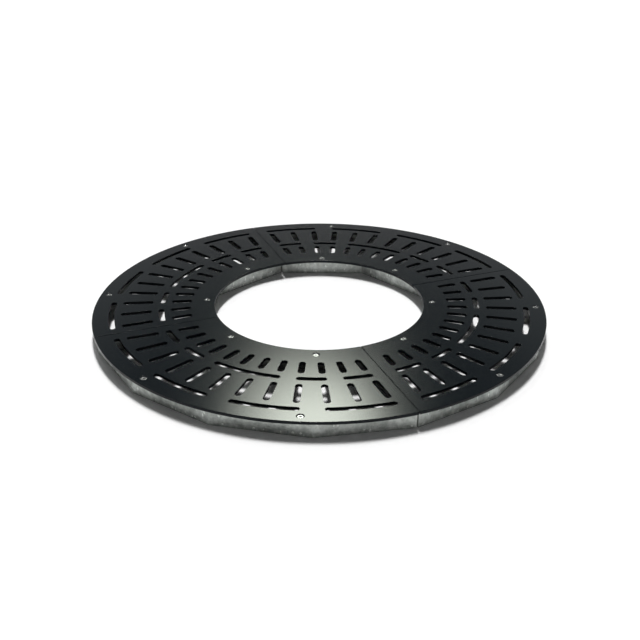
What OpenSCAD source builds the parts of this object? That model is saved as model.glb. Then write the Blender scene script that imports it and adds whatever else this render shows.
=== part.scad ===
// Round tree grate in four quarters. Each quarter is a slotted steel cover plate screwed down
// onto a galvanised frame of flat bar, and the four frames are bolted together at the seams.
// The seams lie on the X and Y axes. The origin is the centre of the grate, on the ground.
// Quarter 1 lies between +X and +Y, and seam 1 lies along +X. Both are counted anticlockwise.

/* [Cover plates] */
// Diameter over the four cover plates
grate_d = 1600; // [1560:10:1800]
// Diameter of the opening for the trunk
opening_d = 750; // [600:10:780]
// Thickness of the cover plates
plate_t = 10; // [8:1:12]
// Chamfer along the rim and round the opening
edge_chamfer = 0.8; // [0.5:0.1:1.5]
// Gap between neighbouring cover plates
cover_gap = 3; // [2:0.5:6]

/* [Slots] */
// Solid rim outside the outermost slots
rim_w = 56; // [50:1:70]
// Steel left between one row of slots and the next
row_web = 22; // [16:1:28]
// Width of the slots that point to the centre
radial_slot_w = 22; // [16:1:24]
// Width of the slots that run round the grate
arc_slot_w = 20; // [14:1:24]
// Length of the outer radial slots, end to end
outer_slot_l = 108; // [80:1:120]
// Solid rim inside the innermost slots
inner_rim_w = 82; // [76:1:100]
// Radial slots in each row of one cover plate
slots_per_row = 12; // [8:1:14]
// Steel left beside a seam, up to the nearest slots
seam_border = 37.5; // [32:0.5:48]
// Arc slots in the outer row of one cover plate
outer_arc_count = 4; // [3:1:6]
// Steel left between two arc slots of the outer row
outer_arc_web = 72; // [50:1:90]
// Length of the four short arc slots of the inner row, end to end
short_arc_l = 96; // [70:1:110]
// Steel left between two arc slots of the inner row
inner_arc_web = 48; // [36:1:60]

/* [Frames] */
// Height of the flat bar
bar_h = 50; // [40:1:60]
// Thickness of the flat bar
bar_t = 6; // [5:1:8]
// Gap between the frames of neighbouring quarters
frame_gap = 4; // [3:0.5:6]
// Straight lengths in the outer rail of one quarter
outer_facets = 4; // [3:1:6]
// Straight lengths in the inner rail of one quarter
inner_facets = 2; // [2:1:4]
// How far the rim stands out past the bends of the outer rail
rim_overhang = 8; // [4:1:12]
// How far the middle of an inner facet lies behind the edge of the opening
opening_overhang = 13; // [8:1:20]
// Inside radius of the bends
bend_r = 6; // [4:1:12]

/* [Screw lugs] */
// Width of a lug along its rail
lug_w = 30; // [26:1:40]
// Reach of a lug from its rail
lug_l = 25; // [22:1:32]
// Thickness of a lug
lug_t = 12; // [10:1:16]
// Distance from the outer rail to the axis of its screws
outer_screw_in = 9; // [8:0.5:12]
// Distance from the inner rail to the axis of its screws
inner_screw_out = 12; // [9:0.5:14]
// Distance along the outer rail from the bend to the screw
screw_from_bend = 36; // [30:1:50]

/* [Cover screws] */
// Diameter of the countersunk screws
screw_d = 10; // [8:1:12]
// Length of a screw, head included
screw_l = 25; // [22:1:35]
// Diameter of the countersunk heads
head_d = 20; // [18:0.5:22]
// Height of the straight edge of the heads
head_land = 0.4; // [0.2:0.1:0.8]
// How far the heads lie below the top of the plate
head_sink = 2; // [0.5:0.25:2.5]
// Width across flats of the hexagon socket
socket_w = 6; // [5:1:7]
// Depth of the hexagon socket
socket_depth = 3.5; // [2.5:0.5:4.5]
// Play of the screws in the plate, on the radius
plate_hole_play = 0.5; // [0.3:0.1:1]
// Play between a head and its countersink, on the radius
seat_play = 0.05; // [0.02:0.01:0.2]
// Play of the screws in the tapped lugs, on the radius
lug_hole_play = 0.1; // [0.05:0.05:0.3]

/* [Seam bolts] */
// Diameter of the hexagon bolts
bolt_d = 10; // [8:1:12]
// Width across flats of the bolt heads and nuts
hex_w = 16; // [13:1:18]
// How much narrower than the flats the round outer face of a head or nut is
hex_face_less = 0.8; // [0.4:0.1:1.6]
// Height of a bolt head
bolt_head_h = 6.4; // [5:0.1:8]
// Height of a nut
nut_h = 8.4; // [6:0.1:11]
// Length of bolt that shows past the nut
bolt_tail = 1.6; // [1:0.1:5]
// Diameter of the washers and spacers
washer_d = 20; // [18:1:24]
// Thickness of the washers
washer_t = 2; // [1:0.5:3]
// Distance from a rail to the nearer bolt
bolt_inset = 40; // [30:1:80]
// Play of the bolts in the bars, on the radius
bar_hole_play = 0.5; // [0.3:0.1:1]
// Play of the bolts in washers, spacers and nuts, on the radius
washer_play = 0.25; // [0.1:0.05:0.5]

/* [Hidden] */
// Overlap of a cutting shape with the space outside the piece that it cuts
past = 1;
// Extra radius of the round end of an arc slot, so that it takes in the square corners there
end_blend = 0.005;
// Facets drawn on large arcs, on slot ends and on small round parts
large_fn = 120;
slot_fn = 16;
small_fn = 16;
// Points drawn on each half of a bend
bend_points = 2;

grate_r = grate_d / 2;
opening_r = opening_d / 2;
screw_r = screw_d / 2;
head_r = head_d / 2;
bolt_r = bolt_d / 2;
top_z = bar_h + plate_t;

// Rows of slots, counted inwards from the rim: arcs, long radial slots, arcs, short radial slots
outer_arc_r = grate_r - rim_w - arc_slot_w / 2;
outer_slot_end = outer_arc_r - arc_slot_w / 2 - row_web;
inner_arc_r = outer_slot_end - outer_slot_l - row_web - arc_slot_w / 2;
inner_slot_end = inner_arc_r - arc_slot_w / 2 - row_web;
inner_slot_l = inner_slot_end - opening_r - inner_rim_w;

// The radial slots fan out from a point that lies this far from both seams, so that the first and
// the last of them run along a seam
fan_start = seam_border + radial_slot_w / 2;

// A rail of straight lengths: the angle of one length, and the distance from the centre to its face
outer_step = 90 / outer_facets;
inner_step = 90 / inner_facets;
outer_rail_face = (grate_r - rim_overhang) * cos(outer_step / 2) - bar_t;
inner_rail_face = opening_r + opening_overhang;
inner_rail_back = inner_rail_face + bar_t;

// The radial end bar beside a seam lies between these distances from the middle of the seam
bar_near = frame_gap / 2;
bar_far = bar_near + bar_t;
bolt_xs = [
    rail_crossing(inner_rail_back, inner_step, bar_far) + bolt_inset,
    rail_crossing(outer_rail_face, outer_step, bar_far) - bolt_inset
];

PER_QUARTER = [
    "cover_plate", "cover_screws", "outer_rail", "inner_rail",
    "right_end_bar", "left_end_bar", "outer_lugs", "inner_lugs"
];
PER_SEAM = ["seam_bolts", "seam_nuts", "seam_washers", "seam_spacers"];

// Angle of a length measured along an arc
function arc_angle(length, r) = length / r * 180 / PI;

// Where a line beside the X axis, at height y, meets the first straight length of a rail
function rail_crossing(face, step, y) = (face - y * sin(step / 2)) / cos(step / 2);

module powder_coat() {
    color("#2b2f30") children();
}

module galvanised() {
    color("#9ba19e") children();
}

module stainless() {
    color("#d8dad9") children();
}

// Puts a piece of quarter 1, or of seam 1, in the place of quarter or seam n
module at_quarter(n) {
    rotate(90 * (n - 1)) children();
}

// Repeats a piece on the other side of the quarter's middle line
module both_sides() {
    children();
    mirror([1, -1, 0]) children();
}

// Keeps what lies in quarter 1, with half a gap left open at both seams
module within_quarter(gap) {
    intersection() {
        children();
        translate([gap / 2, gap / 2, 0]) cube([grate_d, grate_d, top_z + past]);
    }
}

// A slot with round ends along the X axis, drawn from its outer end inwards
module radial_slot(outer_end, length) {
    inner_mid = outer_end - length + radial_slot_w / 2;
    outer_mid = outer_end - radial_slot_w / 2;
    translate([0, 0, bar_h - past]) linear_extrude(plate_t + 2 * past) {
        translate([inner_mid, -radial_slot_w / 2]) square([outer_mid - inner_mid, radial_slot_w]);
        for (x = [inner_mid, outer_mid]) {
            translate([x, 0]) circle(d = radial_slot_w, $fn = slot_fn);
        }
    }
}

// Distance from the start of the fan, in direction a, to the circle of radius r round the centre
function fan_reach(a, r) =
    sqrt(r * r - pow(fan_start * (cos(a) - sin(a)), 2)) - fan_start * (cos(a) + sin(a));

// One row of radial slots, evenly fanned out between the directions of the two seams
module radial_row(outer_end, length) {
    for (i = [0 : slots_per_row - 1]) {
        a = i * 90 / (slots_per_row - 1);
        translate([fan_start, fan_start, 0]) {
            rotate(a) radial_slot(fan_reach(a, outer_end), length);
        }
    }
}

// A slot with round ends that runs round the grate at radius r, between two angles
module arc_slot(r, from, to) {
    end_angle = arc_angle(arc_slot_w / 2, r);
    cut_h = plate_t + 2 * past;
    translate([0, 0, bar_h - past]) {
        rotate(from + end_angle) {
            rotate_extrude(angle = to - from - 2 * end_angle, $fn = large_fn) {
                translate([r - arc_slot_w / 2, 0]) square([arc_slot_w, cut_h]);
            }
        }
        for (a = [from + end_angle, to - end_angle]) {
            rotate(a) translate([r, 0, 0]) {
                cylinder(r = arc_slot_w / 2 + end_blend, h = cut_h, $fn = slot_fn);
            }
        }
    }
}

// The outer row of arc slots, all of one length
module outer_arc_row() {
    setback = asin(seam_border / outer_arc_r);
    web = arc_angle(outer_arc_web, outer_arc_r);
    length = (90 - 2 * setback - (outer_arc_count - 1) * web) / outer_arc_count;
    for (i = [0 : outer_arc_count - 1]) {
        from = setback + i * (length + web);
        arc_slot(outer_arc_r, from, from + length);
    }
}

// The inner row: two short arc slots beside each seam, and a long one in the middle
module inner_arc_row() {
    setback = asin(seam_border / inner_arc_r);
    short = arc_angle(short_arc_l, inner_arc_r);
    pitch = short + arc_angle(inner_arc_web, inner_arc_r);
    both_sides() {
        for (i = [0, 1]) {
            arc_slot(inner_arc_r, setback + i * pitch, setback + i * pitch + short);
        }
    }
    long_from = setback + 2 * pitch;
    arc_slot(inner_arc_r, long_from, 90 - long_from);
}

// Places of the screws: beside a bend of the outer rail, and in the middle of each inner facet
module at_outer_screws() {
    bend_y = outer_rail_face * tan(outer_step / 2);
    both_sides() {
        rotate(1.5 * outer_step) {
            translate([outer_rail_face - outer_screw_in, screw_from_bend - bend_y, 0]) children();
        }
    }
}

module at_inner_screws() {
    for (i = [0 : inner_facets - 1]) {
        rotate((i + 0.5) * inner_step) {
            translate([inner_rail_back + inner_screw_out, 0, 0]) children();
        }
    }
}

// Through hole and countersink, as deep as the sunk head needs
module screw_hole() {
    hole_r = screw_r + plate_hole_play;
    rim_r = head_r + head_land + head_sink + seat_play;
    translate([0, 0, bar_h - past]) cylinder(r = hole_r, h = plate_t + 2 * past, $fn = small_fn);
    translate([0, 0, top_z - (rim_r - hole_r)]) {
        cylinder(r1 = hole_r, r2 = rim_r + past, h = rim_r + past - hole_r, $fn = small_fn);
    }
}

// A quarter of the slotted ring, cut from plate, with its curved top edges broken
module cover_plate() {
    powder_coat() difference() {
        within_quarter(cover_gap) {
            rotate_extrude(angle = 90, $fn = large_fn) polygon([
                [opening_r, bar_h],
                [grate_r, bar_h],
                [grate_r, top_z - edge_chamfer],
                [grate_r - edge_chamfer, top_z],
                [opening_r + edge_chamfer, top_z],
                [opening_r, top_z - edge_chamfer]
            ]);
        }
        outer_arc_row();
        radial_row(outer_slot_end, outer_slot_l);
        inner_arc_row();
        radial_row(inner_slot_end, inner_slot_l);
        at_outer_screws() screw_hole();
        at_inner_screws() screw_hole();
    }
}

// A countersunk screw with a hexagon socket, in its place above the origin
module cover_screw() {
    head_top = top_z - head_sink;
    tip = head_top - screw_l;
    neck = head_top - head_land - (head_r - screw_r);
    tip_chamfer = 1;
    difference() {
        rotate_extrude($fn = small_fn) polygon([
            [0, tip],
            [screw_r - tip_chamfer, tip],
            [screw_r, tip + tip_chamfer],
            [screw_r, neck],
            [head_r, head_top - head_land],
            [head_r, head_top],
            [0, head_top]
        ]);
        translate([0, 0, head_top - socket_depth]) {
            cylinder(d = socket_w / cos(30), h = socket_depth + past, $fn = 6);
        }
    }
}

module cover_screws() {
    stainless() {
        at_outer_screws() cover_screw();
        at_inner_screws() cover_screw();
    }
}

// One side of a bent rail, seen from above: along each straight length and round each bend, from
// the end beside seam 1 to the other end. Its distance from the rail's nearer face is out.
function rail_side(face, step, facets, out) = concat(
    [[rail_crossing(face + out, step, bar_near), bar_near]],
    [
        for (i = [1 : facets - 1])
            let (centre_r = (face - bend_r) / cos(step / 2))
            for (k = [-bend_points : bend_points])
                let (a = i * step + k / bend_points * step / 2)
                centre_r * [cos(i * step), sin(i * step)] + (bend_r + out) * [cos(a), sin(a)]
    ],
    [[bar_near, rail_crossing(face + out, step, bar_near)]]
);

// A list of points in the opposite order
function backwards(points) = [for (i = [len(points) - 1 : -1 : 0]) points[i]];

// A flat bar on edge, bent to run round a quarter, whose nearer face lies at face from the centre
module bent_rail(face, step, facets) {
    near_side = rail_side(face, step, facets, 0);
    far_side = rail_side(face, step, facets, bar_t);
    linear_extrude(bar_h) polygon(concat(far_side, backwards(near_side)));
}

module outer_rail() {
    galvanised() bent_rail(outer_rail_face, outer_step, outer_facets);
}

module inner_rail() {
    galvanised() bent_rail(inner_rail_face, inner_step, inner_facets);
}

// The bar beside seam 1, mitred to both rails and drilled for the seam bolts
module right_end_bar() {
    galvanised() difference() {
        linear_extrude(bar_h) polygon([
            [rail_crossing(inner_rail_back, inner_step, bar_near), bar_near],
            [rail_crossing(outer_rail_face, outer_step, bar_near), bar_near],
            [rail_crossing(outer_rail_face, outer_step, bar_far), bar_far],
            [rail_crossing(inner_rail_back, inner_step, bar_far), bar_far]
        ]);
        at_seam_bolts(bar_near - past) {
            cylinder(r = bolt_r + bar_hole_play, h = bar_t + 2 * past, $fn = small_fn);
        }
    }
}

module left_end_bar() {
    mirror([1, -1, 0]) right_end_bar();
}

// A block welded to a rail under the cover plate, drawn about its screw's axis
module lug(from_x) {
    translate([0, 0, bar_h - lug_t]) difference() {
        translate([from_x, -lug_w / 2, 0]) cube([lug_l, lug_w, lug_t]);
        translate([0, 0, -past]) {
            cylinder(r = screw_r + lug_hole_play, h = lug_t + 2 * past, $fn = small_fn);
        }
    }
}

module outer_lugs() {
    galvanised() at_outer_screws() lug(outer_screw_in - lug_l);
}

module inner_lugs() {
    galvanised() at_inner_screws() lug(-inner_screw_out);
}

// Both bolt places of seam 1, with +Z turned to run across the seam from the distance given
module at_seam_bolts(from_y) {
    for (x = bolt_xs) {
        translate([x, from_y, bar_h / 2]) rotate([-90, 0, 0]) children();
    }
}

// A hexagon whose far corners are chamfered, down to a round face a little narrower than its flats
module hexagon(height) {
    chamfer_angle = 30;
    face_r = (hex_w - hex_face_less) / 2;
    intersection() {
        cylinder(d = hex_w / cos(30), h = height, $fn = 6);
        cylinder(r1 = face_r + height / tan(chamfer_angle), r2 = face_r, h = height, $fn = small_fn);
    }
}

// A flat ring that fits round a bolt
module ring(thickness) {
    difference() {
        cylinder(d = washer_d, h = thickness, $fn = small_fn);
        translate([0, 0, -past]) {
            cylinder(r = bolt_r + washer_play, h = thickness + 2 * past, $fn = small_fn);
        }
    }
}

module seam_bolts() {
    shank = 2 * (bar_far + washer_t) + nut_h + bolt_tail;
    stainless() at_seam_bolts(bar_far + washer_t) {
        hexagon(bolt_head_h);
        translate([0, 0, -shank]) cylinder(r = bolt_r, h = shank, $fn = small_fn);
    }
}

module seam_nuts() {
    stainless() at_seam_bolts(-bar_far - washer_t) mirror([0, 0, 1]) difference() {
        hexagon(nut_h);
        translate([0, 0, -past]) {
            cylinder(r = bolt_r + washer_play, h = nut_h + 2 * past, $fn = small_fn);
        }
    }
}

module seam_washers() {
    stainless() {
        at_seam_bolts(bar_far) ring(washer_t);
        at_seam_bolts(-bar_far - washer_t) ring(washer_t);
    }
}

module seam_spacers() {
    stainless() at_seam_bolts(-bar_near) ring(frame_gap);
}

for (n = [1:4]) {
    at_quarter(n) cover_plate();
    at_quarter(n) cover_screws();
    at_quarter(n) outer_rail();
    at_quarter(n) inner_rail();
    at_quarter(n) right_end_bar();
    at_quarter(n) left_end_bar();
    at_quarter(n) outer_lugs();
    at_quarter(n) inner_lugs();
    at_quarter(n) seam_bolts();
    at_quarter(n) seam_nuts();
    at_quarter(n) seam_washers();
    at_quarter(n) seam_spacers();
}
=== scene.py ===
import math
import random

import bmesh
import bpy
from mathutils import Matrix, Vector


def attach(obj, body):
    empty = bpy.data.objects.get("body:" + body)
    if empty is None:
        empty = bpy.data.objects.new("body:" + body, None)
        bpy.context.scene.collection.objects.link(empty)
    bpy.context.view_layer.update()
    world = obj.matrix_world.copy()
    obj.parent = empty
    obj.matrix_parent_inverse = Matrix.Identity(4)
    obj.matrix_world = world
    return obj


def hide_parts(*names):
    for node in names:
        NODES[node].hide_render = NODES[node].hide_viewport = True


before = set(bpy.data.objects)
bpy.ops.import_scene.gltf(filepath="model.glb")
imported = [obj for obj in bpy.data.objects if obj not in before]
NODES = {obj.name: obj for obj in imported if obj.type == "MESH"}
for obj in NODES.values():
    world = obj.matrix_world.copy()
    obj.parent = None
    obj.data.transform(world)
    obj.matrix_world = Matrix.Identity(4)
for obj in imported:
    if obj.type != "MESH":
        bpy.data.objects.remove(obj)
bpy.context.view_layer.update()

QUARTERS = (1, 2, 3, 4)
UP = Vector((0, 0, 1))


# Sizes of the CAD nodes

def normal_and_tangent(degrees):
    a = math.radians(degrees)
    return Vector((math.cos(a), math.sin(a), 0)), Vector((-math.sin(a), math.cos(a), 0))


def span(node, way):
    """How far a CAD node reaches along a direction: least and most, in metres, to 0.01 mm."""
    reaches = [vertex.co.dot(way) for vertex in NODES[node].data.vertices]
    return round(min(reaches), 5), round(max(reaches), 5)


# The end bars' faces, from the middle of the seam, and the heights of the bars and of the lugs
BAR_NEAR, BAR_FAR = span("right_end_bar_1", Vector((0, 1, 0)))
BAR_FOOT, BAR_TOP = span("outer_rail_1", UP)
LUG_UNDER = span("outer_lugs_1", UP)[0]
LUG_HALF = 0.015
# The angle of each straight length of the rails, and the rails' faces away from the grate's axis
# and towards it
OUTER_STEP, INNER_STEP = 22.5, 45.0
OUTER_BACK = span("outer_rail_1", normal_and_tangent(OUTER_STEP / 2)[0])[1]
INNER_BACK = span("inner_rail_1", normal_and_tangent(INNER_STEP / 2)[0])[1]
OUTER_FACE = OUTER_BACK - (BAR_FAR - BAR_NEAR)
INNER_FACE = INNER_BACK - (BAR_FAR - BAR_NEAR)
# The solids of a node with lugs or cover screws are less than this across
LUG_BOX = 0.05
SCREW_BOX = 0.03


def box(points):
    """The low and the high corner of points."""
    return tuple(Vector(end(p[k] for p in points) for k in range(3)) for end in (min, max))


def islands(node, size):
    """The low and the high corner of each solid of a CAD node, all less than size metres across."""
    groups = []
    for vertex in NODES[node].data.vertices:
        point = vertex.co
        for group in groups:
            if (Vector(group[0].xy) - point.xy).length < size:
                group.append(point.copy())
                break
        else:
            groups.append([point.copy()])
    return [box(group) for group in groups]


# Camera

# The photograph was taken from a little to the left of the seam that lies along -Y. An angle in its
# plan, counted anticlockwise from its right, is this much more than the same angle in the model.
PHOTO_TURN = 21.07
CAMERA_PLACE = Vector((-1.0364, -2.6980, 1.4176))
CAMERA_ELEVATION = 26.43
CAMERA_LENS = 49.77
CAMERA_SENSOR = 36.0


def direction(azimuth, elevation):
    """A unit vector at an angle of the photograph's plan and a height above the horizon, in degrees."""
    a, e = math.radians(azimuth - PHOTO_TURN), math.radians(elevation)
    return Vector((math.cos(a) * math.cos(e), math.sin(a) * math.cos(e), math.sin(e)))


def link(name, data):
    """A new object that holds data, in the scene."""
    thing = bpy.data.objects.new(name, data)
    bpy.context.scene.collection.objects.link(thing)
    return thing


def make_camera():
    data = bpy.data.cameras.new("photo_camera")
    data.lens, data.sensor_width = CAMERA_LENS, CAMERA_SENSOR
    camera = link("photo_camera", data)
    camera.location = CAMERA_PLACE
    camera.rotation_mode = "QUATERNION"
    camera.rotation_quaternion = direction(90, -CAMERA_ELEVATION).to_track_quat("-Z", "Y")
    bpy.context.scene.camera = camera


make_camera()


# Shader nodes

class Nodes:
    """A short way to write shader nodes: each call makes one node and joins its inputs.

    An input is named by its socket, with _ for a space, or by its number after _."""

    def __init__(self, tree):
        self.tree = tree
        tree.nodes.clear()

    def __call__(self, kind, settings=None, **inputs):
        node = self.tree.nodes.new(kind)
        for name, value in (settings or {}).items():
            setattr(node, name, value)
        for name, value in inputs.items():
            has_number = name[0] == "_" and name[1:].isdigit()
            socket = node.inputs[int(name[1:]) if has_number else name.replace("_", " ")]
            if isinstance(value, bpy.types.NodeSocket):
                self.tree.links.new(value, socket)
            else:
                socket.default_value = value
        return node


def grey(level, tint=(1, 1, 1)):
    return (level * tint[0], level * tint[1], level * tint[2], 1)


def ramp(nodes, factor, *stops):
    """A colour ramp through (position, grey level or colour)."""
    node = nodes("ShaderNodeValToRGB", None, Fac=factor)
    elements = node.color_ramp.elements
    while len(elements) < len(stops):
        elements.new(0.5)
    for element, (position, colour) in zip(elements, stops):
        element.position = position
        element.color = colour if isinstance(colour, tuple) else grey(colour)
    return node.outputs["Color"]


def map_range(nodes, value, from_low=0.0, from_high=1.0, to_low=0.0, to_high=1.0):
    """Turns from_low to from_high into to_low to to_high, and holds it at both ends."""
    node = nodes(
        "ShaderNodeMapRange", None, Value=value,
        From_Min=from_low, From_Max=from_high, To_Min=to_low, To_Max=to_high,
    )
    return node.outputs["Result"]


def maths(nodes, operation, a, b):
    return nodes("ShaderNodeMath", {"operation": operation}, _0=a, _1=b).outputs[0]


def weighted_sum(nodes, *shares):
    """The sum of (value, weight) pairs."""
    total = None
    for value, weight in shares:
        part = maths(nodes, "MULTIPLY", value, weight)
        total = part if total is None else maths(nodes, "ADD", total, part)
    return total


def mix(nodes, factor, a, b, blend="MIX"):
    node = nodes("ShaderNodeMix", {"data_type": "RGBA", "blend_type": blend}, _0=factor, _6=a, _7=b)
    return node.outputs[2]


def noise(nodes, place, scale, detail, roughness=0.5, output="Fac"):
    node = nodes("ShaderNodeTexNoise", None, Vector=place, Scale=scale, Detail=detail, Roughness=roughness)
    return node.outputs[output]


def bump(nodes, height, strength, distance, **inputs):
    node = nodes("ShaderNodeBump", None, Height=height, Strength=strength, Distance=distance, **inputs)
    return node.outputs[0]


def component(nodes, vector, axis):
    return nodes("ShaderNodeSeparateXYZ", None, Vector=vector).outputs[axis]


def dot(nodes, vector, other):
    node = nodes("ShaderNodeVectorMath", {"operation": "DOT_PRODUCT"}, _0=vector, _1=other)
    return node.outputs["Value"]


def object_place(nodes):
    return nodes("ShaderNodeTexCoord").outputs["Object"]


def new_material(name):
    material = bpy.data.materials.new(name)
    material.use_nodes = True
    return material, Nodes(material.node_tree)


def finish_material(nodes, **inputs):
    shader = nodes("ShaderNodeBsdfPrincipled", None, **inputs)
    nodes("ShaderNodeOutputMaterial", None, Surface=shader.outputs[0])


# Materials

# The darkest and the lightest colour of each finish, and the colour of the zinc's bead spots, which
# is partly the zinc's own and partly a painted highlight
COAT_COLOURS = ((0.0036, 0.0063, 0.0087, 1), (0.0052, 0.0081, 0.0107, 1))
ZINC_COLOURS = ((0.29, 0.31, 0.295, 1), (0.64, 0.67, 0.64, 1))
# The drips' zinc is lighter than the rest: partly fresh zinc, partly a painted highlight where the drips
# catch the light from above
ZINC_WITH_PAINTED_GLINT_COLOURS = ((0.60, 0.63, 0.60, 1), (0.90, 0.93, 0.90, 1))
STEEL_COLOURS = ((0.30, 0.305, 0.30, 1), (0.40, 0.405, 0.40, 1))
BEAD_AND_PAINTED_HIGHLIGHT_COLOUR = (0.90, 0.93, 0.90, 1)
# The specular level of the powder coat on its cut edges, where it is thin, and on its flat faces,
# and the slopes, as the sine of how far a face looks up, that have the one and the other
CUT_EDGE_GLOSS, FLAT_GLOSS = 0.12, 0.5
CUT_EDGE_TO, FLAT_FROM = 0.1, 0.6
# Bead spots of zinc lie near the edges of the bar, where the bath drained: none up to the first
# distance from the bar's middle height, all from the second, in metres. They are raised bumps, and
# their lighter colour is partly the zinc's own and partly a painted highlight
BAR_MIDDLE = (BAR_FOOT + BAR_TOP) / 2
BEADS_AND_GLINT_FROM, BEADS_AND_GLINT_FULL = 0.008, 0.016


def powder_coat():
    """Near-black semi-gloss powder coat: a faint orange peel, and a little dust in the gloss."""
    material, nodes = new_material("powder_coat")
    place = object_place(nodes)
    peel = noise(nodes, place, scale=420.0, detail=2.0)
    grain = noise(nodes, place, scale=2600.0, detail=1.0)
    cloud = noise(nodes, place, scale=7.0, detail=5.0)
    speck = noise(nodes, place, scale=160.0, detail=6.0)
    wear = weighted_sum(nodes, (cloud, 0.6), (speck, 0.4))
    peeled = bump(nodes, peel, strength=0.5, distance=0.000005)
    upward = component(nodes, nodes("ShaderNodeNewGeometry").outputs["True Normal"], "Z")
    finish_material(
        nodes, IOR=1.5,
        Base_Color=ramp(nodes, wear, (0.3, COAT_COLOURS[0]), (0.7, COAT_COLOURS[1])),
        Roughness=map_range(nodes, wear, to_low=0.145, to_high=0.165),
        Specular_IOR_Level=map_range(nodes, upward, CUT_EDGE_TO, FLAT_FROM, CUT_EDGE_GLOSS, FLAT_GLOSS),
        Normal=bump(nodes, grain, strength=0.3, distance=0.000001, Normal=peeled),
    )
    return material


def galvanised(name, colours):
    """Hot-dip zinc on flat bar: upright streaks of the drained bath, spangles, and small raised bead
    spots, whose lighter colour is in part a painted highlight.
    """
    material, nodes = new_material(name)
    place = object_place(nodes)
    upright = nodes("ShaderNodeMapping", None, Vector=place, Scale=(1.0, 1.0, 0.35)).outputs["Vector"]
    bend = noise(nodes, place, scale=60.0, detail=3.0, output="Color")
    bent = mix(nodes, 0.012, place, bend, "LINEAR_LIGHT")
    spangle = nodes("ShaderNodeTexVoronoi", None, Vector=bent, Scale=95.0).outputs["Color"]
    level = nodes("ShaderNodeSeparateColor", None, Color=spangle).outputs[0]
    streaks = ramp(nodes, noise(nodes, upright, scale=26.0, detail=3.0), (0.36, 0.0), (0.64, 1.0))
    cloud = noise(nodes, place, scale=55.0, detail=5.0, roughness=0.6)
    clouds = ramp(nodes, cloud, (0.36, 0.0), (0.62, 1.0))
    fine = noise(nodes, upright, scale=420.0, detail=3.0, roughness=0.7)
    spot = nodes("ShaderNodeTexVoronoi", None, Vector=bent, Scale=42.0).outputs["Distance"]
    above_middle = maths(nodes, "SUBTRACT", component(nodes, place, "Z"), BAR_MIDDLE)
    off_middle = maths(nodes, "ABSOLUTE", above_middle, 0.0)
    # Bead spots: bumps, and a lighter colour that is in part a painted highlight
    beads_and_painted_glint = maths(
        nodes, "MULTIPLY", ramp(nodes, spot, (0.0, 1.0), (0.13, 0.85), (0.30, 0.0)),
        map_range(nodes, off_middle, BEADS_AND_GLINT_FROM, BEADS_AND_GLINT_FULL),
    )
    tone = weighted_sum(nodes, (level, 0.24), (clouds, 0.40), (streaks, 0.26), (fine, 0.16))
    base = ramp(nodes, tone, (0.1, colours[0]), (0.9, colours[1]))
    relief = weighted_sum(nodes, (cloud, 0.4), (beads_and_painted_glint, 0.7), (fine, 0.12))
    # The base colour is lightened at the bead spots, in part as a painted highlight
    finish_material(
        nodes, Metallic=0.75,
        Base_Color=mix(nodes, maths(nodes, "MULTIPLY", beads_and_painted_glint, 0.5), base, BEAD_AND_PAINTED_HIGHLIGHT_COLOUR),
        Roughness=map_range(nodes, level, to_low=0.36, to_high=0.56),
        Normal=bump(nodes, relief, strength=0.6, distance=0.0005),
    )
    return material


def stainless():
    """Turned stainless steel with fine marks of the tool, a little dulled by weather."""
    material, nodes = new_material("stainless")
    place = object_place(nodes)
    marks = noise(nodes, place, scale=900.0, detail=4.0)
    cloud = noise(nodes, place, scale=120.0, detail=3.0)
    dull = weighted_sum(nodes, (marks, 0.5), (cloud, 0.5))
    finish_material(
        nodes, Metallic=0.72,
        Base_Color=ramp(nodes, marks, (0.3, STEEL_COLOURS[0]), (0.7, STEEL_COLOURS[1])),
        Roughness=map_range(nodes, dull, to_low=0.17, to_high=0.24),
        Normal=bump(nodes, marks, strength=0.2, distance=0.00001),
    )
    return material


COAT = powder_coat()
ZINC = galvanised("galvanised", ZINC_COLOURS)
# A lighter zinc for the drips, partly a painted highlight
ZINC_WITH_PAINTED_GLINT = galvanised("galvanised_drips_painted_glint", ZINC_WITH_PAINTED_GLINT_COLOURS)
STEEL = stainless()


# The CAD nodes

FRAME_STEMS = ("outer_rail", "inner_rail", "right_end_bar", "left_end_bar", "outer_lugs", "inner_lugs")
SEAM_STEMS = ("seam_bolts", "seam_nuts", "seam_washers", "seam_spacers")
# How wide their sharp edges are broken, in metres
PLATE_EDGE = 0.0002
FRAME_EDGE = 0.0006
FASTENER_EDGE = 0.0002


def dress(stems, material, edge):
    """Gives the nodes of all four quarters or seams their material and breaks their sharp edges."""
    for thing in (NODES[f"{stem}_{n}"] for stem in stems for n in QUARTERS):
        for held in thing.material_slots:
            held.material = material
        weld = thing.modifiers.new("weld", "WELD")
        weld.merge_threshold = 1e-6
        flat = thing.modifiers.new("flat", "DECIMATE")
        flat.decimate_type, flat.angle_limit = "DISSOLVE", math.radians(0.5)
        bevel = thing.modifiers.new("edge", "BEVEL")
        bevel.width, bevel.segments = edge, 2
        bevel.limit_method, bevel.angle_limit = "ANGLE", math.radians(32)
        bevel.use_clamp_overlap = False
        bevel.harden_normals = True


dress(("cover_plate",), COAT, PLATE_EDGE)
dress(FRAME_STEMS, ZINC, FRAME_EDGE)
dress(SEAM_STEMS, STEEL, FASTENER_EDGE)


# Shapes

def mesh_object(name, points, faces, material, smooth_under):
    """A piece made of points and faces; edges flatter than smooth_under degrees are shaded smooth."""
    data = bpy.data.meshes.new(name)
    data.from_pydata(points, [], faces)
    data.validate()
    shell = bmesh.new()
    shell.from_mesh(data)
    bmesh.ops.recalc_face_normals(shell, faces=shell.faces)
    shell.to_mesh(data)
    shell.free()
    data.materials.append(material)
    piece = link(name, data)
    data.shade_smooth()
    data.set_sharp_from_angle(angle=math.radians(smooth_under))
    return piece


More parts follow.
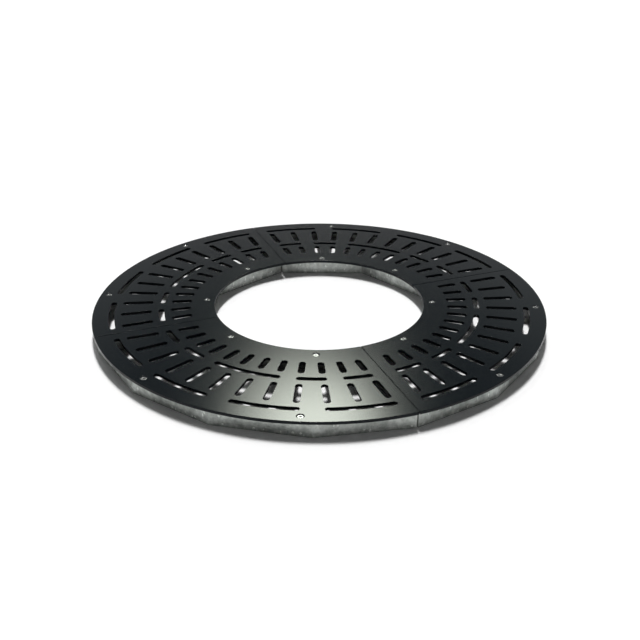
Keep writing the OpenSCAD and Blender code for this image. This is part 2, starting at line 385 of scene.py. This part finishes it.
def ring_faces(first, second, count):
    """The faces between two rings of count points, each given by its first point."""
    pairs = [(i, (i + 1) % count) for i in range(count)]
    return [(first + i, first + j, second + j, second + i) for i, j in pairs]


def joined(shapes):
    """One shape, as points and faces, made of many."""
    points, faces = [], []
    for more_points, more_faces in shapes:
        offset = len(points)
        points += [tuple(point) for point in more_points]
        faces += [tuple(offset + i for i in face) for face in more_faces]
    return points, faces


def placed(shape, place, turn):
    """A shape turned about Z, in radians, and then moved to a place."""
    c, s = math.cos(turn), math.sin(turn)
    points = [(place[0] + x * c - y * s, place[1] + x * s + y * c, place[2] + z) for x, y, z in shape[0]]
    return points, shape[1]


# Cover screws

# In metres from the middle of the head's top. The hexagon socket: half its width across flats,
# the heights of its floor's middle and of its walls' foot and top, and the radius of its mouth
SOCKET_APOTHEM = 0.003
SOCKET_FLOOR, SOCKET_FOOT, SOCKET_TOP = -0.0041, -0.0035, -0.0003
SOCKET_MOUTH = 0.0036
# The radius and the height of each ring of the head
HEAD = (
    (0.0060, 0.00004), (0.0091, 0.0), (0.0097, -0.00008), (0.01, -0.0003),
    (0.01, -0.0005), (0.00535, -0.00515), (0.005, -0.0056), (0.005, -0.0068),
)
HEAD_FOOT = HEAD[-1][1]
CORE, CORE_TOP = 0.00435, HEAD_FOOT - 0.0004
TIP, TIP_CHAMFER = -0.025, 0.0008
THREAD_TOP, THREAD_END = HEAD_FOOT - 0.0003, TIP + 0.0005
THREAD_PITCH = 0.0015
# One turn of the thread: radius, and share of the pitch
THREAD = ((0.00500, 0.0), (0.00500, 0.12), (0.00435, 0.46), (0.00435, 0.62), (0.00500, 0.97))
# What it fades to at its ends, inside the core, and within how many turns
THREAD_ROOT = CORE - 0.0002
THREAD_FADE_IN, THREAD_FADE_OUT = 0.6, 1.2
SCREW_ROUND = 48
SCREWS_PER_PLATE = 4
# Each screw is turned this much more than the last, in radians
SCREW_TURN = 0.71


def ring(radius, z):
    """SCREW_ROUND points round Z. radius is a number, or a function of the angle."""
    points = []
    for i in range(SCREW_ROUND):
        angle = 2 * math.pi * i / SCREW_ROUND
        r = radius(angle) if callable(radius) else radius
        points.append((r * math.cos(angle), r * math.sin(angle), z))
    return points


def hexagon(apothem):
    """The radius of a hexagon at each angle."""
    return lambda angle: apothem / math.cos((angle + math.pi / 6) % (math.pi / 3) - math.pi / 6)


def add_thread(points, faces):
    """A screw thread round Z, which fades out at both ends."""
    turns = (THREAD_TOP - THREAD_END) / THREAD_PITCH
    per_turn = len(THREAD)
    row_count = int(turns) * per_turn
    base = len(points)
    rows = [base + row * SCREW_ROUND for row in range(row_count)]
    for row in range(row_count):
        radius, share = THREAD[row % per_turn]
        for i in range(SCREW_ROUND):
            angle = 2 * math.pi * i / SCREW_ROUND
            along = row // per_turn + share + i / SCREW_ROUND
            fade = min(1.0, along / THREAD_FADE_IN, max(0.0, (turns - along) / THREAD_FADE_OUT))
            r = THREAD_ROOT + (radius - THREAD_ROOT) * fade
            z = max(THREAD_TOP - along * THREAD_PITCH, THREAD_END)
            points.append((r * math.cos(angle), r * math.sin(angle), z))
    for row in range(row_count - 1):
        for i in range(SCREW_ROUND - 1):
            a, b = rows[row] + i, rows[row + 1] + i
            faces.append((a, a + 1, b + 1, b))
        if row + 1 + per_turn < row_count:
            a, b = rows[row] + SCREW_ROUND - 1, rows[row + 1] + SCREW_ROUND - 1
            faces.append((a, rows[row + per_turn], rows[row + 1 + per_turn], b))


def screw_shape():
    """A countersunk screw with a hexagon socket; the middle of its head's top is the origin."""
    socket = hexagon(SOCKET_APOTHEM)
    outline = [(socket, SOCKET_FOOT), (socket, SOCKET_TOP), (SOCKET_MOUTH, 0.0), *HEAD]
    outline += [(CORE, CORE_TOP), (CORE, TIP + TIP_CHAMFER), (CORE - TIP_CHAMFER, TIP)]
    points, faces, rings = [(0.0, 0.0, SOCKET_FLOOR)], [], []
    for radius, z in outline:
        rings.append(len(points))
        points += ring(radius, z)
    faces += [(0, rings[0] + (i + 1) % SCREW_ROUND, rings[0] + i) for i in range(SCREW_ROUND)]
    for first, second in zip(rings, rings[1:]):
        faces += ring_faces(first, second, SCREW_ROUND)
    faces.append(tuple(rings[-1] + i for i in reversed(range(SCREW_ROUND))))
    add_thread(points, faces)
    return points, faces


def cover_screws():
    shape = screw_shape()
    for n in QUARTERS:
        screws = []
        for index, (low, high) in enumerate(islands(f"cover_screws_{n}", SCREW_BOX)):
            place = ((low.x + high.x) / 2, (low.y + high.y) / 2, high.z)
            screws.append(placed(shape, place, (n * SCREWS_PER_PLATE + index) * SCREW_TURN))
        piece = mesh_object(f"cover_screws_turned_{n}", *joined(screws), STEEL, smooth_under=30)
        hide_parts(f"cover_screws_{n}")
        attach(piece, f"cover_{n}")


cover_screws()


# Welds on the frames

# A weld's legs by its place, where it starts and ends, and the length of a row of its points and
# of a ripple
CORNER_LEG, CORNER_WELD = 0.0042, (BAR_FOOT + 0.003, BAR_TOP - 0.0025)
LUG_FOOT_LEG, LUG_FOOT_HALF = 0.0038, 0.0135
LUG_SIDE_LEG, LUG_SIDE_WELD = 0.0032, (LUG_UNDER + 0.0005, BAR_TOP - 0.001)
WELD_ROW = 0.0006
WELD_RIPPLE = 0.0023
WELD_POINTS = 8
# How far its root and its toes are sunk into the steel, how full it is as a share of its legs, and
# the length over which its ends thin out, to what share
WELD_ROOT, WELD_TOE = 0.0004, 0.0001
WELD_FULLNESS = 0.3
WELD_END, WELD_END_SIZE = 0.002, 0.55
# By what shares of its size it ripples and wanders, and how fast it wanders, in radians a metre,
# along itself and from place to place
RIPPLE_SHARE, WANDER_SHARE = 0.07, 0.05
WANDER_ALONG, WANDER_BETWEEN = 410, 90


def weld(start, end, first, second, leg):
    """A fillet weld along a corner: first and second point from the corner along the two faces."""
    run = end - start
    rows = max(6, int(run.length / WELD_ROW))
    outward = (first + second).normalized()
    points, faces = [], []
    for row in range(rows + 1):
        along = run.length * (row / rows)
        ripple = RIPPLE_SHARE * math.cos(2 * math.pi * along / WELD_RIPPLE)
        wander = WANDER_SHARE * math.sin(along * WANDER_ALONG + start.x * WANDER_BETWEEN)
        from_end = min(1.0, min(along, run.length - along) / WELD_END)
        size = leg * (1 + ripple + wander) * (WELD_END_SIZE + (1 - WELD_END_SIZE) * from_end)
        place = start + run * (row / rows)
        points.append(place - outward * WELD_ROOT)
        for k in range(WELD_POINTS):
            t = k / (WELD_POINTS - 1)
            bulge = math.sin(math.pi * t) * size * WELD_FULLNESS - WELD_TOE
            points.append(place + (first * (1 - t) + second * t) * size + outward * bulge)
    count = WELD_POINTS + 1
    for row in range(rows):
        faces += ring_faces(row * count, (row + 1) * count, count)
    faces.append(tuple(reversed(range(count))))
    faces.append(tuple(rows * count + k for k in range(count)))
    return points, faces


def corner_welds():
    """The upright welds in the first quarter's four inside corners."""
    welds = []
    low, high = (UP * z for z in CORNER_WELD)
    for face, step, inward in ((OUTER_FACE, OUTER_STEP, -1), (INNER_BACK, INNER_STEP, 1)):
        half = math.radians(step / 2)
        x = (face - BAR_FAR * math.sin(half)) / math.cos(half)
        right = (Vector((x, BAR_FAR, 0)), Vector((inward, 0, 0)), normal_and_tangent(step / 2)[1])
        left = (Vector((BAR_FAR, x, 0)), Vector((0, inward, 0)), -normal_and_tangent(90 - step / 2)[1])
        for spot, along_bar, along_rail in (right, left):
            welds.append(weld(spot + low, spot + high, along_bar, along_rail, CORNER_LEG))
    return welds


def lug_welds(n):
    """The welds under and beside each lug, where it meets its rail."""
    welds = []
    under = UP * LUG_UNDER
    low, high = (UP * z for z in LUG_SIDE_WELD)
    rails = (("outer_lugs", OUTER_FACE, OUTER_STEP, -1), ("inner_lugs", INNER_BACK, INNER_STEP, 1))
    for stem, face, step, inward in rails:
        for corners in islands(f"{stem}_{n}", LUG_BOX):
            middle = (corners[0] + corners[1]) / 2
            facet = (math.degrees(math.atan2(middle.y, middle.x)) % 360) // step
            normal, tangent = normal_and_tangent((facet + 0.5) * step)
            foot = normal * face + tangent * middle.dot(tangent)
            away = normal * inward
            half = tangent * LUG_FOOT_HALF
            welds.append(weld(foot - half + under, foot + half + under, -UP, away, LUG_FOOT_LEG))
            for side in (-1, 1):
                edge = foot + tangent * side * LUG_HALF
                welds.append(weld(edge + low, edge + high, tangent * side, away, LUG_SIDE_LEG))
    return welds


def frame_welds(n):
    """All welds of a quarter's frame."""
    first_corners = joined(corner_welds())
    return joined([placed(first_corners, (0, 0, 0), math.radians(90 * (n - 1))), *lug_welds(n)])


# Zinc drips on the rails

# A drip's rings: share of its reach, and share of its thickness
DRIP_RINGS = ((0.35, 0.93), (0.68, 0.66), (0.92, 0.25), (1.0, -0.15))
DRIP_ROUND = 14
# How much narrower its top is than its foot, and how its outline wavers: waves round it, their
# share of its size, and how much each is shifted from drip to drip
DRIP_TAPER = 0.35
DRIP_WAVES = ((2, 0.16, 1.0), (3, 0.10, 2.3))
# A drip hangs low or high on the bar or is a run in between: shares of the first two, and heights
LOW_SHARE, HIGH_SHARE = 0.4, 0.45
LOW_DRIPS, HIGH_DRIPS, RUNS = (0.0065, 0.012), (0.034, 0.0435), (0.016, 0.032)
# Least and most of half its length, half its width and its thickness
DRIP_TALL, RUN_TALL = (0.0024, 0.0054), (0.005, 0.009)
DRIP_WIDE = (0.0016, 0.0048)
DRIP_THICK = (0.0005, 0.0010)
# Least and most of a narrow and of a wide gap, most before the first drip, and the bare length
# beside each bend
DRIP_GAPS = ((0.006, 0.014), (0.022, 0.055))
DRIP_FIRST = 0.03
DRIP_MARGIN = 0.012
DRIP_SEED = 70


def drip(place, normal, tangent, wide, tall, thick, uneven):
    """A bead of zinc that ran down a face and set: a low dome, fuller at its foot."""
    points, rings = [place + normal * thick], []
    for reach, height in DRIP_RINGS:
        rings.append(len(points))
        for k in range(DRIP_ROUND):
            a = 2 * math.pi * k / DRIP_ROUND
            waver = sum(share * math.sin(waves * a + shift * uneven) for waves, share, shift in DRIP_WAVES)
            edge = reach * (1 + waver)
            x, z = math.cos(a) * wide * edge, math.sin(a) * tall * edge
            if z > 0:
                x *= 1 - DRIP_TAPER * z / tall
            points.append(place + tangent * x + UP * z + normal * thick * height)
    faces = [(0, rings[0] + k, rings[0] + (k + 1) % DRIP_ROUND) for k in range(DRIP_ROUND)]
    for inner, outer in zip(rings, rings[1:]):
        faces += ring_faces(inner, outer, DRIP_ROUND)
    faces.append(tuple(rings[-1] + k for k in reversed(range(DRIP_ROUND))))
    return points, faces


def zinc_drips(n):
    """Drips on the outer rail's outer face and on the inner rail's face to the opening."""
    chance = random.Random(DRIP_SEED + n)
    drips = []
    for face, step, side in ((OUTER_BACK, OUTER_STEP, 1), (INNER_FACE, INNER_STEP, -1)):
        reach = face * math.tan(math.radians(step / 2)) - DRIP_MARGIN
        for facet in range(round(90 / step)):
            normal, tangent = normal_and_tangent(90 * (n - 1) + (facet + 0.5) * step)
            y = -reach + chance.uniform(0.0, DRIP_FIRST)
            while y < reach:
                kind = chance.random()
                tall = chance.uniform(*DRIP_TALL)
                if kind < LOW_SHARE:
                    z = chance.uniform(*LOW_DRIPS)
                elif kind < LOW_SHARE + HIGH_SHARE:
                    z = chance.uniform(*HIGH_DRIPS)
                else:
                    z = chance.uniform(*RUNS)
                    tall = chance.uniform(*RUN_TALL)
                wide = chance.uniform(*DRIP_WIDE)
                thick = chance.uniform(*DRIP_THICK)
                uneven = chance.uniform(0, 6)
                place = normal * face + tangent * y + UP * z
                drips.append(drip(place, normal * side, tangent, wide, tall, thick, uneven))
                y += chance.choice([chance.uniform(*gap) for gap in DRIP_GAPS])
    return joined(drips)


def frame_details():
    for n in QUARTERS:
        welds = mesh_object(f"frame_welds_{n}", *frame_welds(n), ZINC, smooth_under=50)
        drips = mesh_object(f"zinc_drips_{n}", *zinc_drips(n), ZINC_WITH_PAINTED_GLINT, smooth_under=80)
        for piece in (welds, drips):
            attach(piece, "frames")


frame_details()


# Floor

# What the floor shows and what light it gives back, in the open and under the grate, and the radii
# in metres between which it changes from one to the other. Under the grate the floor is darker in
# reflections only: painted shade.
FLOOR_SHOWN = 1.04
FLOOR_MIRRORED = 0.96
FLOOR_MIRRORED_PAINTED_SHADE = 0.35
FLOOR_BOUNCE = 0.75
FLOOR_BOUNCE_UNDER = 0.75
UNDER_FROM, UNDER_FULL = 0.36, 0.40
UNDER_TO, OPEN_FROM = 0.77, 0.80
FLOOR_HALF = 60.0
FLOOR_Z = -0.0004


def make_floor():
    data = bpy.data.meshes.new("floor")
    corners = ((-1, -1), (1, -1), (1, 1), (-1, 1))
    data.from_pydata([(x * FLOOR_HALF, y * FLOOR_HALF, FLOOR_Z) for x, y in corners], [], [(0, 1, 2, 3)])
    floor = link("floor", data)
    material, nodes = new_material("white_floor")
    path = nodes("ShaderNodeLightPath")
    shown = maths(nodes, "MAXIMUM", path.outputs["Is Camera Ray"], path.outputs["Is Transmission Ray"])
    reach = nodes("ShaderNodeVectorMath", {"operation": "LENGTH"}, _0=object_place(nodes)).outputs["Value"]
    open_air = ramp(nodes, reach, (UNDER_FROM, 1.0), (UNDER_FULL, 0.0), (UNDER_TO, 0.0), (OPEN_FROM, 1.0))
    bounce = mix(nodes, open_air, grey(FLOOR_BOUNCE_UNDER), grey(FLOOR_BOUNCE))
    # Reflections see a darker floor under the grate: painted shade
    mirrored_with_painted_shade = mix(nodes, open_air, grey(FLOOR_MIRRORED_PAINTED_SHADE), grey(FLOOR_MIRRORED))
    colour = mix(nodes, path.outputs["Is Glossy Ray"], bounce, mirrored_with_painted_shade)
    colour = mix(nodes, shown, colour, grey(FLOOR_SHOWN))
    shader = nodes("ShaderNodeBsdfDiffuse", None, Color=colour)
    nodes("ShaderNodeOutputMaterial", None, Surface=shader.outputs[0])
    data.materials.append(material)


make_floor()


# Lamps

# A long narrow soft box overhead, which leans back: elevation and level of its parts
KEY_AZIMUTH = 92.0
KEY_PART_SIZE = 5.0
KEY_PARTS = ((78, 0.08), (74, 0.19), (70, 0.24), (66, 0.18), (62, 0.09))
# The wide weak light round it, and a small lamp low behind, which draws the highlight across the
# front of the plates: azimuth, elevation, size and level
KEY_HALO = (102, 60, 46, 0.12)
REAR_LAMP_PARTS = ((89.5, 34.9, 8.5, 0.0213), (91.7, 34.3, 9.0, 0.0203))
REAR_LAMP_TINT = (0.945, 1.0, 0.885)


def sun(name, azimuth, elevation, size, level, tint=(1, 1, 1)):
    """A lamp as far as the sun. level is what it adds to a white surface that lies flat."""
    data = bpy.data.lights.new(name, "SUN")
    data.energy = level * math.pi / math.sin(math.radians(elevation))
    data.angle = math.radians(size)
    data.color = tint
    lamp = link(name, data)
    lamp.rotation_mode = "QUATERNION"
    lamp.rotation_quaternion = direction(azimuth, elevation).to_track_quat("Z", "Y")


def make_lamps():
    for elevation, level in KEY_PARTS:
        sun(f"key_{elevation}", KEY_AZIMUTH, elevation, KEY_PART_SIZE, level)
    sun("key_halo", *KEY_HALO)
    for azimuth, elevation, size, level in REAR_LAMP_PARTS:
        sun(f"rear_lamp_{azimuth:.0f}", azimuth, elevation, size, level, REAR_LAMP_TINT)


make_lamps()


# Surroundings

# The low bright band behind is neutral at its foot and cooler above: sine of the elevation, level
# and tint
WARM = (0.97, 0.94, 0.96)
COOL = (0.91, 0.97, 0.95)
REAR_SKY = (
    (0.0, 0.38, WARM), (0.33, 0.345, WARM), (0.35, 0.32, WARM), (0.383, 0.265, COOL),
    (0.415, 0.22, COOL), (0.446, 0.18, COOL), (0.50, 0.14, COOL), (0.7, 0.05, COOL),
)
FRONT_SKY = ((0.0, 0.33), (0.35, 0.17), (0.6, 0.05), (1.0, 0.04))
# Front and rear run into each other over this much to each side, as a cosine
SKY_BLEND = 0.3
# The rear lamp's shade stands before the band: where, dark out to the first angle from there, and
# gone at the second
SHADE_MIDDLE = (90.7, 34.9)
SHADE_DARK_TO, SHADE_GONE_FROM = 11.5, 16.0


def make_world():
    world = bpy.data.worlds.new("studio")
    bpy.context.scene.world = world
    world.use_nodes = True
    nodes = Nodes(world.node_tree)
    place = nodes("ShaderNodeTexCoord").outputs["Generated"]
    height = component(nodes, place, "Z")
    rear = ramp(nodes, height, *((z, grey(level, tint)) for z, level, tint in REAR_SKY))
    gone, dark = (math.cos(math.radians(angle)) for angle in (SHADE_GONE_FROM, SHADE_DARK_TO))
    unshaded = map_range(nodes, dot(nodes, place, direction(*SHADE_MIDDLE)), gone, dark, 1.0, 0.0)
    rear = mix(nodes, unshaded, grey(0.0), rear)
    rearward = map_range(nodes, dot(nodes, place, direction(90, 0)), -SKY_BLEND, SKY_BLEND)
    sky = mix(nodes, rearward, ramp(nodes, height, *FRONT_SKY), rear)
    seen = nodes("ShaderNodeLightPath").outputs["Is Camera Ray"]
    shader = nodes("ShaderNodeBackground", None, Color=mix(nodes, seen, sky, grey(1.0)), Strength=1.0)
    nodes("ShaderNodeOutputWorld", None, Surface=shader.outputs[0])


make_world()
bpy.context.scene.view_settings.view_transform = "Standard"
